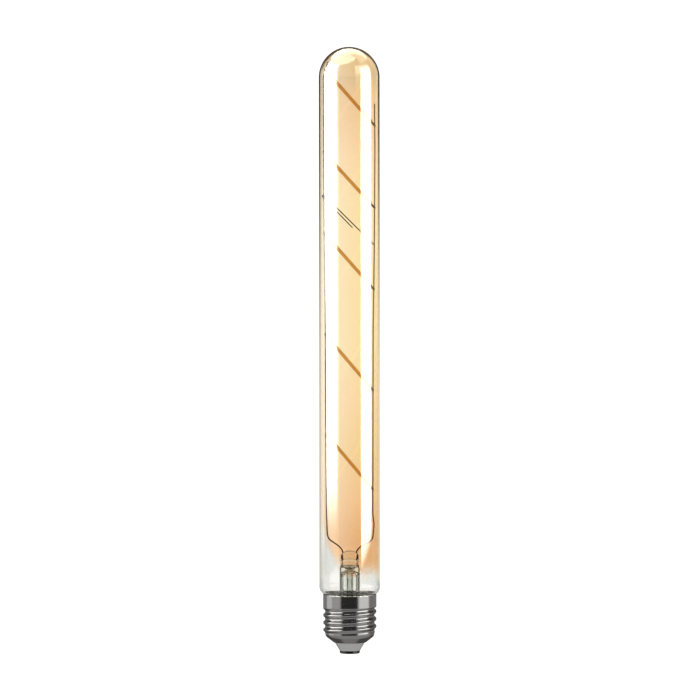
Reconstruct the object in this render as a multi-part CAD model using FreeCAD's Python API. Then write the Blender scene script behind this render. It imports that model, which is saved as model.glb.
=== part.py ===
"""Tubular filament lamp: a coated glass tube on a screw cap, with five LED strips between two rails.

Lengths are millimetres. The lamp stands on +Z, and its origin is the middle of the contact's bottom face.
"""
import FreeCAD, Part
import math
import os

Vector = FreeCAD.Vector
UP = Vector(0, 0, 1)
ORIGIN = Vector(0, 0, 0)

# Overall
overall_length = 299.0
tube_diameter = 30.0

# Blown glass
glass_wall = 0.8
shoulder_radius = 4.5
neck_blend_radius = 1.5
neck_depth_in_cap = 4.8
glass_above_rim = 0.1

# Screw cap shell, rolled from one sheet
cap_height = 29.0
collar_diameter = 26.15
collar_height = 6.0
collar_step = 0.8
rim_edge_radius = 0.1
sheet_thickness = 0.3
thread_crest_diameter = 26.15
thread_root_diameter = 24.2
thread_pitch = 25.4 / 7
thread_arc_radius = 1.0
thread_crest_at_right = 13.3
thread_run_out = 1.4
cap_shoulder_radius = 2.5
cap_shoulder_slope = 38.0
cap_hole_radius = 8.2
cap_hole_height = 5.5

# Cement ring
cement_thickness = 0.775
cement_below_bend = 0.2

# Moulded insulator
boss_base_radius = 5.3
boss_top_radius = 7.6
boss_edge_radius = 0.3
insulator_flange_radius = 10.4
insulator_top = 7.6
insulator_flange_thickness = 0.4
insulator_floor = 1.6
insulator_wall = 1.3
hub_radius = 2.5
insulator_rib_count = 4
insulator_rib_thickness = 0.8

# Centre contact
contact_radius = 5.0
contact_thickness = 1.4
contact_chamfer = 0.3
contact_pin_radius = 1.2
contact_head_radius = 1.8
contact_head_height = 0.4

# Glass stem
stem_tube_radius = 4.9
stem_wall = 0.9
flare_bend_radius = 3.4
press_base_height = 41.4
press_height = 8.9
press_half_width = 4.5
press_half_thickness = 2.1
press_squareness = 3.4
press_outline_points = 16
pinch_height = 2.2
press_crown = 0.9
exhaust_outer_radius = 1.6
exhaust_bore_radius = 0.9
exhaust_socket_depth = 1.0
exhaust_hole_radius = 1.5
exhaust_hole_above_base = 2.7
exhaust_tip_height = 16.0

# Wires
rail_wire_diameter = 0.65
seal_wire_diameter = 0.4
lead_wire_diameter = 0.5
brace_wire_diameter = 0.5
press_wire_spread = 3.4
rail_seal_above_base = 5.1
seal_wire_above_base = 1.2
weld_sink = 0.08
longest_bend_share = 0.45

# Rails. The foot leads out of the press in shares of the way across, at rises above it. The run
# stands off the tube's inside by gaps, at shares of its height. The left tip leans in under the dome.
rail_exit_above_press = 0.2
rail_run_above_press = 18.4
left_foot_shares = (0.24, 0.86, 0.96)
left_foot_rises = (2.5, 5.9, 8.1)
right_foot_shares = (0.28, 0.77, 1.0, 1.08)
right_foot_rises = (2.6, 4.1, 6.2, 13.2)
rail_run_shares = (0.0, 0.122, 0.424, 0.605, 0.833)
left_run_gaps = (2.8, 2.6, 2.3, 1.9, 1.5, 1.4)
left_run_end_share = 1.0
left_tip_out_share = 0.74
left_tip_up_share = 0.55
right_run_gaps = (2.8, 2.7, 2.5, 1.9, 1.5, 1.7)
right_run_end_share = 0.939
rail_bend_length = 1.1

# LED strips, spread between the lowest and the highest
lowest_strip_above_press = 44.2
highest_strip_below_top = 25.1
strip_shares = (0.0, 0.2726, 0.5507, 0.7742, 1.0)
strip_drop = 27.6
strip_width = 1.7
strip_thickness = 1.1
strip_edge_radius = 0.5
tab_length = 2.4
tab_width = 0.9
tab_thickness = 0.2
tab_in_strip = 0.9
tab_past_rail = 0.5

# Brace between the rails, measured from the middle of the strip below it, which has two more below
brace_lower_strip_count = 2
brace_left_rise = 31.8
brace_right_rise = 8.0
brace_leg_spacing = 1.15
brace_short_leg_end = 1.5
brace_short_leg_drop = 2.2
brace_wrap_depth = 1.8
brace_bead_radius = 0.9

# Driver in the cap
board_thickness = 1.0
board_half_width = 8.0
board_above_insulator = 2.4
board_below_neck = 2.2
board_corner_radius = 1.0
board_gap = 1.8
lead_hole_below_top = 2.0
lead_proud = 0.5
lead_bend_length = 1.0
live_hole_above_bottom = 1.2
capacitor_radius = 3.15
capacitor_height = 6.8
capacitor_edge_radius = 0.4
capacitor_crimp_height = 1.0
capacitor_crimp_radius = 0.25
capacitor_across = 2.6
capacitor_pin_spread = 1.25
capacitor_clearance = 0.3
capacitor_hole_above_bottom = 1.2
capacitor_stand_off = 1.2
component_lead_diameter = 0.5
component_lead_depth = 0.5
resistor_radius = 1.2
resistor_waist_radius = 1.03
resistor_nose_radius = 0.6
resistor_cap_length = 1.32
resistor_cap_flat = 0.3
resistor_cap_slope = 0.5
resistor_body_length = 6.0
resistor_across = -5.2
resistor_above_middle = 0.5
resistor_lead_length = 1.2
resistor_clearance = 0.1
rectifier_size = (4.7, 2.4, 3.6)
rectifier_across = -4.3
rectifier_above_bottom = 2.9
rectifier_pins = 2
regulator_size = (3.9, 1.5, 4.0)
regulator_across = 4.3
regulator_above_bottom = 2.6
regulator_pins = 4
chip_pin_width = 0.5
chip_pin_thickness = 0.25
chip_pin_length = 0.9
chip_pin_depth = 0.3
chip_edge_chamfer = 0.2
chip_clearance = 0.1
neutral_across = -7.2
neutral_hole_below_top = 4.5
neutral_in_front = 0.6
neutral_turn_radius = 8.4
neutral_weld_drop = 0.75

# Sampling of the rolled thread's surface
rows_per_pitch = 10
columns_per_turn = 16
join_tolerance = 0.001

# Derived
tube_radius = tube_diameter / 2
tube_inner_radius = tube_radius - glass_wall
collar_radius = collar_diameter / 2
root_radius = thread_root_diameter / 2
crest_radius = thread_crest_diameter / 2
shell_inner_radius = collar_radius - sheet_thickness
collar_bottom = cap_height - collar_height
neck_radius = shell_inner_radius - cement_thickness
neck_bottom = cap_height - neck_depth_in_cap
board_front = exhaust_outer_radius + board_gap
board_back = board_front + board_thickness
board_bottom = insulator_top + board_above_insulator
board_top = neck_bottom - board_below_neck
lead_hole_height = board_top - lead_hole_below_top
live_hole_height = board_bottom + live_hole_above_bottom
capacitor_hole_height = board_bottom + capacitor_hole_above_bottom
neutral_hole_height = board_top - neutral_hole_below_top
resistor_middle = (board_bottom + board_top) / 2 + resistor_above_middle
rectifier_place = (rectifier_across, board_bottom + rectifier_above_bottom)
regulator_place = (regulator_across, board_bottom + regulator_above_bottom)
rail_radius = rail_wire_diameter / 2
press_top_height = press_base_height + press_height
exhaust_hole_height = press_base_height + exhaust_hole_above_base
seal_wire_bottom = press_base_height + seal_wire_above_base
rail_seal_height = press_base_height + rail_seal_above_base
rail_run_bottom = press_top_height + rail_run_above_press
rail_run_top = overall_length - tube_radius
lowest_strip = press_top_height + lowest_strip_above_press
highest_strip = overall_length - highest_strip_below_top
strip_heights = [lowest_strip + share * (highest_strip - lowest_strip) for share in strip_shares]
brace_left_height = strip_heights[brace_lower_strip_count] + brace_left_rise
brace_right_height = strip_heights[brace_lower_strip_count] + brace_right_rise


def at(place):
    """A point of the XZ half-plane in space."""
    return Vector(place[0], 0, place[1])


def bend(centre, radius, start, end):
    """An arc about a centre between two angles in degrees, as its start, middle and end places."""
    angles = [math.radians(a) for a in (start, (start + end) / 2, end)]
    return tuple((centre[0] + radius * math.cos(a), centre[1] + radius * math.sin(a)) for a in angles)


def path(*stations):
    """Edges through places and bends in the XZ half-plane, joined by straight lines."""
    edges = []
    last = None
    for station in stations:
        places = station if isinstance(station[0], tuple) else (station,)
        start = at(places[0])
        if last is not None and start.distanceToPoint(last) > 1e-6:
            edges.append(Part.makeLine(last, start))
        if len(places) == 3:
            edges.append(Part.Arc(*[at(p) for p in places]).toShape())
        last = at(places[-1])
    return edges


def section(*stations):
    """A closed face through the stations."""
    first = stations[0][0] if isinstance(stations[0][0], tuple) else stations[0]
    return Part.Face(Part.Wire(path(*stations, first)))


def turned(*stations):
    """A solid of revolution about the lamp's axis."""
    return section(*stations).revolve(ORIGIN, UP, 360)


def cylinder(radius, bottom, top, x=0.0, y=0.0):
    """An upright cylinder between two heights."""
    return Part.makeCylinder(radius, top - bottom, Vector(x, y, bottom))


def block(low, high):
    """A box between two corners."""
    size = [b - a for a, b in zip(low, high)]
    return Part.makeBox(*size, Vector(*low))


def wire_route(points, reach):
    """Straight runs joined by arcs that take up a set length of wire on each side of a corner."""
    edges = []
    here = points[0]
    for before, corner, after in zip(points, points[1:], points[2:]):
        into = (corner - before).normalize()
        out = (after - corner).normalize()
        shorter = min(corner.distanceToPoint(before), corner.distanceToPoint(after))
        length = min(reach, longest_bend_share * shorter)
        half_turn = into.getAngle(out) / 2
        start = corner - into * length
        end = corner + out * length
        inward = (out - into).normalize()
        middle = corner + inward * (length * (1 / math.cos(half_turn) - 1) / math.tan(half_turn))
        edges.append(Part.makeLine(here, start))
        edges.append(Part.Arc(start, middle, end).toShape())
        here = end
    edges.append(Part.makeLine(here, points[-1]))
    return edges


def round_wire(edges, diameter):
    """A round wire swept along a route of straight runs and arcs."""
    start = edges[0].valueAt(edges[0].FirstParameter)
    heading = edges[0].tangentAt(edges[0].FirstParameter)
    disc = Part.Face(Part.Wire(Part.makeCircle(diameter / 2, start, heading)))
    return Part.Wire(edges).makePipe(disc)


def bent_wire(points, diameter, reach):
    """A round wire bent at each corner of a list of points."""
    return round_wire(wire_route(points, reach), diameter)


def rail_route(side, foot_shares, foot_rises, run_gaps, end_share):
    """A rail's places across and up: out from the press, then up beside the wall."""
    across = [tube_inner_radius - gap for gap in run_gaps]
    shares = rail_run_shares + (end_share,)
    way_out = across[0] - press_wire_spread
    places = []
    for share, rise in zip(foot_shares, foot_rises):
        places.append((side * (press_wire_spread + share * way_out), press_top_height + rise))
    for x, share in zip(across, shares):
        places.append((side * x, rail_run_bottom + share * (rail_run_top - rail_run_bottom)))
    return places


left_tip = (-left_tip_out_share * tube_inner_radius, rail_run_top + left_tip_up_share * tube_inner_radius)
left_rail_places = rail_route(-1, left_foot_shares, left_foot_rises, left_run_gaps, left_run_end_share)
left_rail_places.append(left_tip)
right_rail_places = rail_route(1, right_foot_shares, right_foot_rises, right_run_gaps, right_run_end_share)


def along(places, height):
    """How far across a rail stands at a height."""
    for (x0, z0), (x1, z1) in zip(places, places[1:]):
        if z0 <= height <= z1:
            return x0 + (x1 - x0) * (height - z0) / (z1 - z0)
    return places[-1][0]


def glass_envelope():
    """Dome, tube, rounded shoulder and straight neck, with one wall thickness throughout."""
    shoulder_across = tube_radius - shoulder_radius
    blend_across = neck_radius + neck_blend_radius
    reach = shoulder_radius + neck_blend_radius
    turn = math.degrees(math.acos((blend_across - shoulder_across) / reach))
    join_height = cap_height + glass_above_rim
    shoulder_height = join_height + shoulder_radius * math.sin(math.radians(turn))
    blend_height = shoulder_height - reach * math.sin(math.radians(turn))
    shoulder = (shoulder_across, shoulder_height)
    blend = (blend_across, blend_height)
    dome = (0.0, overall_length - tube_radius)
    inner_neck = neck_radius - glass_wall
    solid = turned(
        (neck_radius, neck_bottom),
        bend(blend, neck_blend_radius, 180, 180 - turn),
        bend(shoulder, shoulder_radius, -turn, 0),
        bend(dome, tube_radius, 0, 90),
        bend(dome, tube_inner_radius, 90, 0),
        bend(shoulder, shoulder_radius - glass_wall, 0, -turn),
        bend(blend, neck_blend_radius + glass_wall, 180 - turn, 180),
        (inner_neck, neck_bottom),
    )
    return solid, blend_height


def pinched(height, half_width, half_thickness):
    """One cross-section of the press: a round that is squeezed towards a flat block."""
    points = []
    for step in range(press_outline_points):
        angle = 2 * math.pi * step / press_outline_points
        c = math.cos(angle)
        s = math.sin(angle)
        x = math.copysign(abs(c) ** (2 / press_squareness), c) * half_width
        y = math.copysign(abs(s) ** (2 / press_squareness), s) * half_thickness
        points.append(Vector(x, y, height))
    curve = Part.BSplineCurve()
    curve.interpolate(Points=points, PeriodicFlag=True)
    return Part.Wire(curve.toShape())


def stem_flare():
    """The flared tube with its pinched press, open below, with the blown exhaust hole in its front."""
    rim_top = neck_bottom + stem_wall
    bend_centre = (stem_tube_radius + flare_bend_radius, rim_top + flare_bend_radius)
    inner_tube = stem_tube_radius - stem_wall
    flare_edge = neck_radius - glass_wall
    tube = turned(
        (flare_edge, neck_bottom),
        (flare_edge, rim_top),
        bend(bend_centre, flare_bend_radius, 270, 180),
        (stem_tube_radius, press_base_height),
        (inner_tube, press_base_height),
        bend(bend_centre, flare_bend_radius + stem_wall, 180, 270),
    )
    flat = press_top_height - press_crown
    round_end = Part.Wire(Part.makeCircle(stem_tube_radius, Vector(0, 0, press_base_height)))
    pinched_end = pinched(press_base_height + pinch_height, press_half_width, press_half_thickness)
    blade_top = pinched(flat, press_half_width, press_half_thickness)
    press = Part.makeLoft([round_end, pinched_end], True)
    blade = Part.makeLoft([pinched_end, blade_top], True)
    crown = Part.makeLoft(
        [
            pinched(
                flat + press_crown * math.sin(angle),
                press_half_width - press_crown * (1 - math.cos(angle)),
                press_half_thickness - press_crown * (1 - math.cos(angle)),
            )
            for angle in (math.radians(a) for a in (0, 30, 60, 85))
        ],
        True,
    )
    body = tube.fuse([press, blade, crown]).removeSplitter()
    socket_top = press_base_height + exhaust_socket_depth
    body = body.cut(cylinder(exhaust_outer_radius, press_base_height - 1, socket_top))
    body = body.cut(cylinder(exhaust_bore_radius, socket_top, exhaust_hole_height))
    hole = Part.makeCylinder(
        exhaust_hole_radius, stem_tube_radius, Vector(0, 0, exhaust_hole_height), Vector(0, -1, 0)
    )
    return body.cut(hole), socket_top


def exhaust_tube(top):
    """The pumping tube, open at the press and drawn off to a sealed point below."""
    wall = exhaust_outer_radius - exhaust_bore_radius
    tip_radius = exhaust_outer_radius
    tip = (0.0, exhaust_tip_height + tip_radius)
    return turned(
        bend(tip, tip_radius, -90, 0),
        (exhaust_outer_radius, top),
        (exhaust_bore_radius, top),
        bend((0.0, tip[1] + wall), exhaust_bore_radius, 0, -90),
    )


def rail(side, places):
    """A lead wire from its seal in the press, out round the press and up the inside of the tube."""
    points = [Vector(side * press_wire_spread, 0, rail_seal_height)]
    points.append(Vector(side * press_wire_spread, 0, press_top_height + rail_exit_above_press))
    points.extend(at(place) for place in places)
    return bent_wire(points, rail_wire_diameter, rail_bend_length)


def seal_wire(side):
    """The short thin wire that passes through the glass of the press."""
    radius = seal_wire_diameter / 2
    return cylinder(radius, seal_wire_bottom, rail_seal_height, side * press_wire_spread)


def outer_lead(side):
    """The lead from the press down the stem and through the driver board."""
    across = side * press_wire_spread
    points = [
        Vector(across, 0, seal_wire_bottom),
        Vector(across, 0, lead_hole_height),
        Vector(across, board_back + lead_proud, lead_hole_height),
    ]
    return bent_wire(points, lead_wire_diameter, lead_bend_length)


def strip_line(height):
    """The two ends of a strip on the rails' axes."""
    top = height + strip_drop / 2
    bottom = height - strip_drop / 2
    left = Vector(along(left_rail_places, top), 0, top)
    right = Vector(along(right_rail_places, bottom), 0, bottom)
    return left, right


def laid_on(shape, start, end):
    """Turns a shape that is modelled along X from the origin onto the line from start to end."""
    placed = shape.copy()
    placed.rotate(ORIGIN, Vector(0, 1, 0), -math.degrees(math.atan2(end.z - start.z, end.x - start.x)))
    placed.translate(start)
    return placed


def strip_depth():
    """How far in front of the rails' axes the strips and tabs are centred."""
    return -(rail_radius + tab_thickness / 2 - weld_sink)


def led_strip(start, end, tabs):
    """The coated strip between its two tabs, which are moulded into its ends."""
    length = start.distanceToPoint(end) - 2 * tab_length
    depth = strip_depth()
    bar = block(
        (tab_length, depth - strip_thickness / 2, -strip_width / 2),
        (tab_length + length, depth + strip_thickness / 2, strip_width / 2),
    )
    bar = bar.makeFillet(strip_edge_radius, bar.Edges)
    return laid_on(bar, start, end).cut(tabs)


def end_tab(start, end, rail_solid):
    """A flat tab from inside the strip's end to just past the rail, welded on the rail's front."""
    depth = strip_depth()
    tab = block(
        (-tab_past_rail, depth - tab_thickness / 2, -tab_width / 2),
        (tab_length + tab_in_strip, depth + tab_thickness / 2, tab_width / 2),
    )
    return laid_on(tab, start, end).cut(rail_solid)


def rail_brace(left_rail, right_rail):
    """A hairpin wire: welded behind the right rail, round the bead on the left rail, and back in front."""
    left = Vector(along(left_rail_places, brace_left_height), 0, brace_left_height)
    right = Vector(along(right_rail_places, brace_right_height), 0, brace_right_height)
    heading = (left - right).normalize()
    across = Vector(-heading.z, 0, heading.x)
    if across.z > 0:
        across = across * -1
    between = Vector(0, -brace_wrap_depth, 0) + across * brace_leg_spacing
    turn_start = left - between / 2
    turn_end = left + between / 2
    turn_middle = left + heading * (between.Length / 2)
    weld_depth = rail_radius + brace_wire_diameter / 2 - weld_sink
    long_end = Vector(right.x, weld_depth, right.z) - heading * rail_radius
    leg_share = (brace_short_leg_end - turn_start.x) / (long_end.x - turn_start.x)
    above_end = turn_start + (long_end - turn_start) * leg_share
    short_end = Vector(above_end.x, turn_end.y, above_end.z - brace_short_leg_drop)
    edges = [
        Part.makeLine(long_end, turn_start),
        Part.Arc(turn_start, turn_middle, turn_end).toShape(),
        Part.makeLine(turn_end, short_end),
    ]
    legs = [round_wire([edge], brace_wire_diameter) for edge in edges]
    knuckles = [Part.makeSphere(brace_wire_diameter / 2, turn) for turn in (turn_start, turn_end)]
    wire = legs[0].fuse(legs[1:] + knuckles)
    bead = Part.makeSphere(brace_bead_radius, left)
    return wire.cut(right_rail), bead.cut([wire, left_rail])


def thread_height(offset):
    """Height of the rolled wave above the root, for a distance along the axis from its crest."""
    depth = crest_radius - root_radius
    tip = thread_arc_radius
    flank = math.acos(1 - depth / (2 * tip))
    half_width = tip * math.sin(flank)
    distance = abs(offset)
    if distance < half_width:
        return depth - tip + math.sqrt(tip ** 2 - distance ** 2)
    if distance < 2 * half_width:
        return tip - math.sqrt(tip ** 2 - (2 * half_width - distance) ** 2)
    return 0.0


def ease(value):
    """Zero to one with level ends."""
    value = min(1.0, max(0.0, value))
    return value * value * (3 - 2 * value)


def thread_radius(angle, height, bottom, top):
    """Outer radius of the shell in its threaded zone, running out below and into the collar above."""
    crest = thread_crest_at_right + thread_pitch * angle / (2 * math.pi)
    offset = (height - crest + thread_pitch / 2) % thread_pitch - thread_pitch / 2
    run_out = ease((height - bottom) / thread_run_out)
    rise = ease((height - top + collar_step) / collar_step)
    wave = thread_height(offset) * run_out * (1 - rise)
    return root_radius + wave + (collar_radius - root_radius) * rise


def thread_plug(bottom, top, inset):
    """The space inside the rolled thread, moved inwards by an inset: one round face and two flat ends."""
    rows = max(8, math.ceil((top - bottom) / thread_pitch * rows_per_pitch))
    grid = []
    for row in range(rows + 1):
        height = bottom + (top - bottom) * row / rows
        line = []
        for column in range(columns_per_turn):
            angle = 2 * math.pi * column / columns_per_turn
            radius = thread_radius(angle, height, bottom, top) - inset
            line.append(Vector(radius * math.cos(angle), radius * math.sin(angle), height))
        line.append(Vector(line[0]))
        grid.append(line)
    surface = Part.BSplineSurface()
    surface.interpolate(grid)
    round_face = surface.toShape()
    ends = [Part.Face(Part.Wire(edge)) for edge in round_face.Edges if edge.isClosed()]
    skin = Part.makeCompound([round_face] + ends)
    skin.sewShape()
    solid = Part.Solid(skin.Shells[0])
    if solid.Volume < 0:
        solid.reverse()
    return solid


def shell_shoulder():
    """Centre height of the shoulder's bend, from the hole and the slope."""
    slope = math.radians(cap_shoulder_slope)
    bend_across = root_radius - cap_shoulder_radius
    tangent_across = bend_across + cap_shoulder_radius * math.sin(slope)
    rise = (tangent_across - cap_hole_radius) * math.tan(slope)
    return cap_hole_height + rise + cap_shoulder_radius * math.cos(slope)


def cap_shell():
    """One rolled sheet: collar, thread and turned-in shoulder with the hole for the insulator."""
    shoulder_height = shell_shoulder()
    centre = (root_radius - cap_shoulder_radius, shoulder_height)
    down = cap_shoulder_slope - 90
    inner_edge = cap_hole_height + sheet_thickness / math.cos(math.radians(cap_shoulder_slope))
    rim_edge = (collar_radius - rim_edge_radius, cap_height - rim_edge_radius)
    shoulder = turned(
        bend(centre, cap_shoulder_radius, 0, down),
        (cap_hole_radius, cap_hole_height),
        (cap_hole_radius, inner_edge),
        bend(centre, cap_shoulder_radius - sheet_thickness, down, 0),
    )
    collar = turned(
        (collar_radius, collar_bottom),
        bend(rim_edge, rim_edge_radius, 0, 90),
        (shell_inner_radius, cap_height),
        (shell_inner_radius, collar_bottom),
    )
    thread = thread_plug(shoulder_height, collar_bottom, 0.0)
    thread = thread.cut(thread_plug(shoulder_height, collar_bottom, sheet_thickness))
    return shoulder.fuse([thread, collar], join_tolerance)


def basing_cement(blend_height):
    """A ring of cement that fills the space between the neck and the collar."""
    return turned(
        (neck_radius, neck_bottom),
        (shell_inner_radius, neck_bottom),
        (shell_inner_radius, blend_height - cement_below_bend),
        (neck_radius, blend_height - cement_below_bend),
    )


def cap_insulator():
    """The moulded boss: a cored cone through the shell's hole, with a flange that seats on the shoulder."""
    slope = math.radians(cap_shoulder_slope)
    seat_edge = cap_hole_height + sheet_thickness / math.cos(slope)
    flange_height = seat_edge + (insulator_flange_radius - cap_hole_radius) * math.tan(slope)
    flange_top = max(insulator_top, flange_height + insulator_flange_thickness)
    body = turned(
        (contact_pin_radius, contact_thickness),
        (boss_base_radius - boss_edge_radius, contact_thickness),
        bend(
            (boss_base_radius - boss_edge_radius, contact_thickness + boss_edge_radius),
            boss_edge_radius,
            -90,
            0,
        ),
        (boss_top_radius, cap_hole_height),
        (cap_hole_radius, cap_hole_height),
        (cap_hole_radius, seat_edge),
        (insulator_flange_radius, flange_height),
        (insulator_flange_radius, flange_top),
        (boss_top_radius, flange_top),
        (boss_top_radius, insulator_top),
        (contact_pin_radius, insulator_top),
    )
    floor = contact_thickness + insulator_floor
    core = turned(
        (hub_radius, floor),
        (boss_base_radius - insulator_wall, floor),
        (boss_top_radius - insulator_wall, insulator_top),
        (hub_radius, insulator_top),
    )
    ribs = []
    for rib in range(insulator_rib_count):
        web = block(
            (0, -insulator_rib_thickness / 2, floor),
            (boss_top_radius, insulator_rib_thickness / 2, insulator_top),
        )
        web.rotate(ORIGIN, UP, 360 / insulator_rib_count * (rib + 0.5))
        ribs.append(web)
    return body.cut(core.cut(ribs))


def centre_contact(live_wire):
    """A turned disc with a pin pressed up through the insulator, headed over, with the live wire in it."""
    disc = turned(
        (0.0, 0.0),
        (contact_radius - contact_chamfer, 0.0),
        (contact_radius, contact_chamfer),
        (contact_radius, contact_thickness),
        (contact_pin_radius, contact_thickness),
        (contact_pin_radius, insulator_top),
        (contact_head_radius, insulator_top),
        (contact_head_radius - contact_head_height / 2, insulator_top + contact_head_height),
        (0.0, insulator_top + contact_head_height),
    )
    return disc.cut(live_wire)


def live_wire():
    """From the contact's pin up to the board."""
    points = [
        Vector(0, 0, contact_thickness + insulator_floor),
        Vector(0, 0, live_hole_height),
        Vector(0, board_back + lead_proud, live_hole_height),
    ]
    return bent_wire(points, lead_wire_diameter, lead_bend_length)


def neutral_wire():
    """From the board up to the inside of the collar, where it is welded."""
    weld_height = neck_bottom - neutral_weld_drop
    points = [
        Vector(neutral_across, board_back + lead_proud, neutral_hole_height),
        Vector(neutral_across, neutral_in_front, neutral_hole_height),
        Vector(-neutral_turn_radius, 0, weld_height),
        Vector(-collar_radius, 0, weld_height),
    ]
    wire = bent_wire(points, lead_wire_diameter, lead_bend_length)
    return wire.common(cylinder(shell_inner_radius, 0, cap_height))


def smoothing_capacitor():
    """An upright can with a crimped waist, on two pins that are bent back into the board."""
    middle = board_back + capacitor_clearance + capacitor_radius
    bottom = capacitor_hole_height + capacitor_stand_off
    top = bottom + capacitor_height
    across_edge = capacitor_radius - capacitor_edge_radius
    crimp_middle = bottom + capacitor_crimp_height + capacitor_crimp_radius
    can = turned(
        (0.0, bottom),
        (across_edge, bottom),
        bend((across_edge, bottom + capacitor_edge_radius), capacitor_edge_radius, -90, 0),
        bend((capacitor_radius, crimp_middle), capacitor_crimp_radius, -90, -270),
        bend((across_edge, top - capacitor_edge_radius), capacitor_edge_radius, 0, 90),
        (0.0, top),
    )
    can.translate(Vector(capacitor_across, middle, 0))
    pins = []
    for side in (-1, 1):
        across = capacitor_across + side * capacitor_pin_spread
        points = [
            Vector(across, middle, bottom + component_lead_depth),
            Vector(across, middle, capacitor_hole_height),
            Vector(across, board_front, capacitor_hole_height),
        ]
        pins.append(bent_wire(points, component_lead_diameter, lead_bend_length))
    return can.fuse(pins)


def fusible_resistor():
    """A small axial resistor with swollen ends, its two leads bent into the board."""
    middle = board_back + resistor_clearance + resistor_radius
    bottom = resistor_middle - resistor_body_length / 2
    top = resistor_middle + resistor_body_length / 2
    waist = resistor_waist_radius
    swell = resistor_radius - waist
    cap = resistor_cap_length
    flat = cap + resistor_cap_flat
    slope = flat + resistor_cap_slope
    body = turned(
        (0.0, bottom),
        (resistor_nose_radius, bottom),
        bend((waist, bottom + cap), swell, -60, 0),
        (resistor_radius, bottom + flat),
        (waist, bottom + slope),
        (waist, top - slope),
        (resistor_radius, top - flat),
        bend((waist, top - cap), swell, 0, 60),
        (resistor_nose_radius, top),
        (0.0, top),
    )
    body.translate(Vector(resistor_across, middle, 0))
    leads = []
    for edge, away in ((bottom, -1), (top, 1)):
        points = [
            Vector(resistor_across, middle, edge - away * component_lead_depth),
            Vector(resistor_across, middle, edge + away * resistor_lead_length),
            Vector(resistor_across, board_front, edge + away * resistor_lead_length),
        ]
        leads.append(bent_wire(points, component_lead_diameter, lead_bend_length))
    return body.fuse(leads)


def chip(size, place, pins):
    """A moulded package on the board's front, with bent pins at its two sides."""
    width, depth, height = size
    back = board_front - chip_clearance
    front = back - depth
    across, middle = place
    body = block(
        (across - width / 2, front, middle - height / 2),
        (across + width / 2, back, middle + height / 2),
    )
    edges = [e for e in body.Edges if all(abs(v.Y - front) < 1e-6 for v in e.Vertexes)]
    body = body.makeChamfer(chip_edge_chamfer, edges)
    pieces = []
    mid_depth = back - depth / 2
    for side in (-1, 1):
        flank = across + side * width / 2
        inner = flank - side * chip_pin_depth
        outer = flank + side * chip_pin_length
        step = flank + side * chip_pin_length / 2
        t = chip_pin_thickness
        profile = [
            (inner, mid_depth), (step + side * t / 2, mid_depth), (step + side * t / 2, board_front - t),
            (outer, board_front - t), (outer, board_front), (step - side * t / 2, board_front),
            (step - side * t / 2, mid_depth + t), (inner, mid_depth + t),
        ]
        for pin in range(pins):
            pitch = height / pins
            low = middle - height / 2 + pitch * (pin + 0.5) - chip_pin_width / 2
            corners = [Vector(x, y, low) for x, y in profile]
            face = Part.Face(Part.makePolygon(corners + corners[:1]))
            pieces.append(face.extrude(Vector(0, 0, chip_pin_width)))
    return body.fuse(pieces)


def driver_board(fittings):
    """The board, drilled where each lead passes through it."""
    board = block(
        (-board_half_width, board_front, board_bottom),
        (board_half_width, board_back, board_top),
    )
    across = [e for e in board.Edges if abs(e.Vertexes[0].Y - e.Vertexes[1].Y) > board_thickness / 2]
    board = board.makeFillet(board_corner_radius, across)
    return board.cut(fittings)


def build():
    """All pieces by name."""
    pieces = {}
    envelope, blend_height = glass_envelope()
    pieces["glass_envelope"] = envelope
    rails = {"left": rail(-1, left_rail_places), "right": rail(1, right_rail_places)}
    stem, exhaust_top = stem_flare()
    for name, side in (("left", -1), ("right", 1)):
        pieces[name + "_rail"] = rails[name]
        pieces[name + "_seal_wire"] = seal_wire(side)
        pieces[name + "_outer_lead"] = outer_lead(side)
    sealed_in = [pieces[name] for name in pieces if name != "glass_envelope"]
    pieces["stem_flare"] = stem.cut(sealed_in)
    pieces["exhaust_tube"] = exhaust_tube(exhaust_top)
    for number, height in enumerate(reversed(strip_heights), start=1):
        left, right = strip_line(height)
        left_tab = end_tab(left, right, rails["left"])
        right_tab = end_tab(right, left, rails["right"])
        pieces["filament_strip_%d" % number] = led_strip(left, right, [left_tab, right_tab])
        pieces["filament_left_tab_%d" % number] = left_tab
        pieces["filament_right_tab_%d" % number] = right_tab
    brace, bead = rail_brace(rails["left"], rails["right"])
    pieces["rail_brace"] = brace
    pieces["brace_bead"] = bead
    pieces["cap_shell"] = cap_shell()
    pieces["basing_cement"] = basing_cement(blend_height)
    pieces["cap_insulator"] = cap_insulator()
    pieces["live_wire"] = live_wire()
    pieces["centre_contact"] = centre_contact(pieces["live_wire"])
    pieces["neutral_wire"] = neutral_wire()
    pieces["smoothing_capacitor"] = smoothing_capacitor()
    pieces["fusible_resistor"] = fusible_resistor()
    pieces["bridge_rectifier"] = chip(rectifier_size, rectifier_place, rectifier_pins)
    pieces["regulator_chip"] = chip(regulator_size, regulator_place, regulator_pins)
    through_board = (
        "left_outer_lead", "right_outer_lead", "live_wire", "neutral_wire", "smoothing_capacitor",
        "fusible_resistor",
    )
    pieces["driver_board"] = driver_board([pieces[name] for name in through_board])
    return pieces


def main():
    """Writes one file for each piece."""
    os.makedirs("parts", exist_ok=True)
    for name, shape in build().items():
        solids = shape.Solids
        print("%-22s solids %d  valid %s" % (name, len(solids), shape.isValid()))
        solid = solids[0] if len(solids) == 1 else Part.makeCompound(solids)
        solid.exportStep("parts/%s.step" % name)


main()
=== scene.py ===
# %% [markdown]
# # A tubular filament lamp
#
# The lamp is a long blown glass tube with an amber coating, on a rolled screw cap. Inside it two
# wires hold five slanting LED strips. The CAD model gives every piece its place and size. Here the
# pieces that the eye rests on, the glass and the cap, are made again with a finer skin, and every
# piece gets the finish of its real material. Lengths are in millimetres until a mesh is made.

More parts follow.
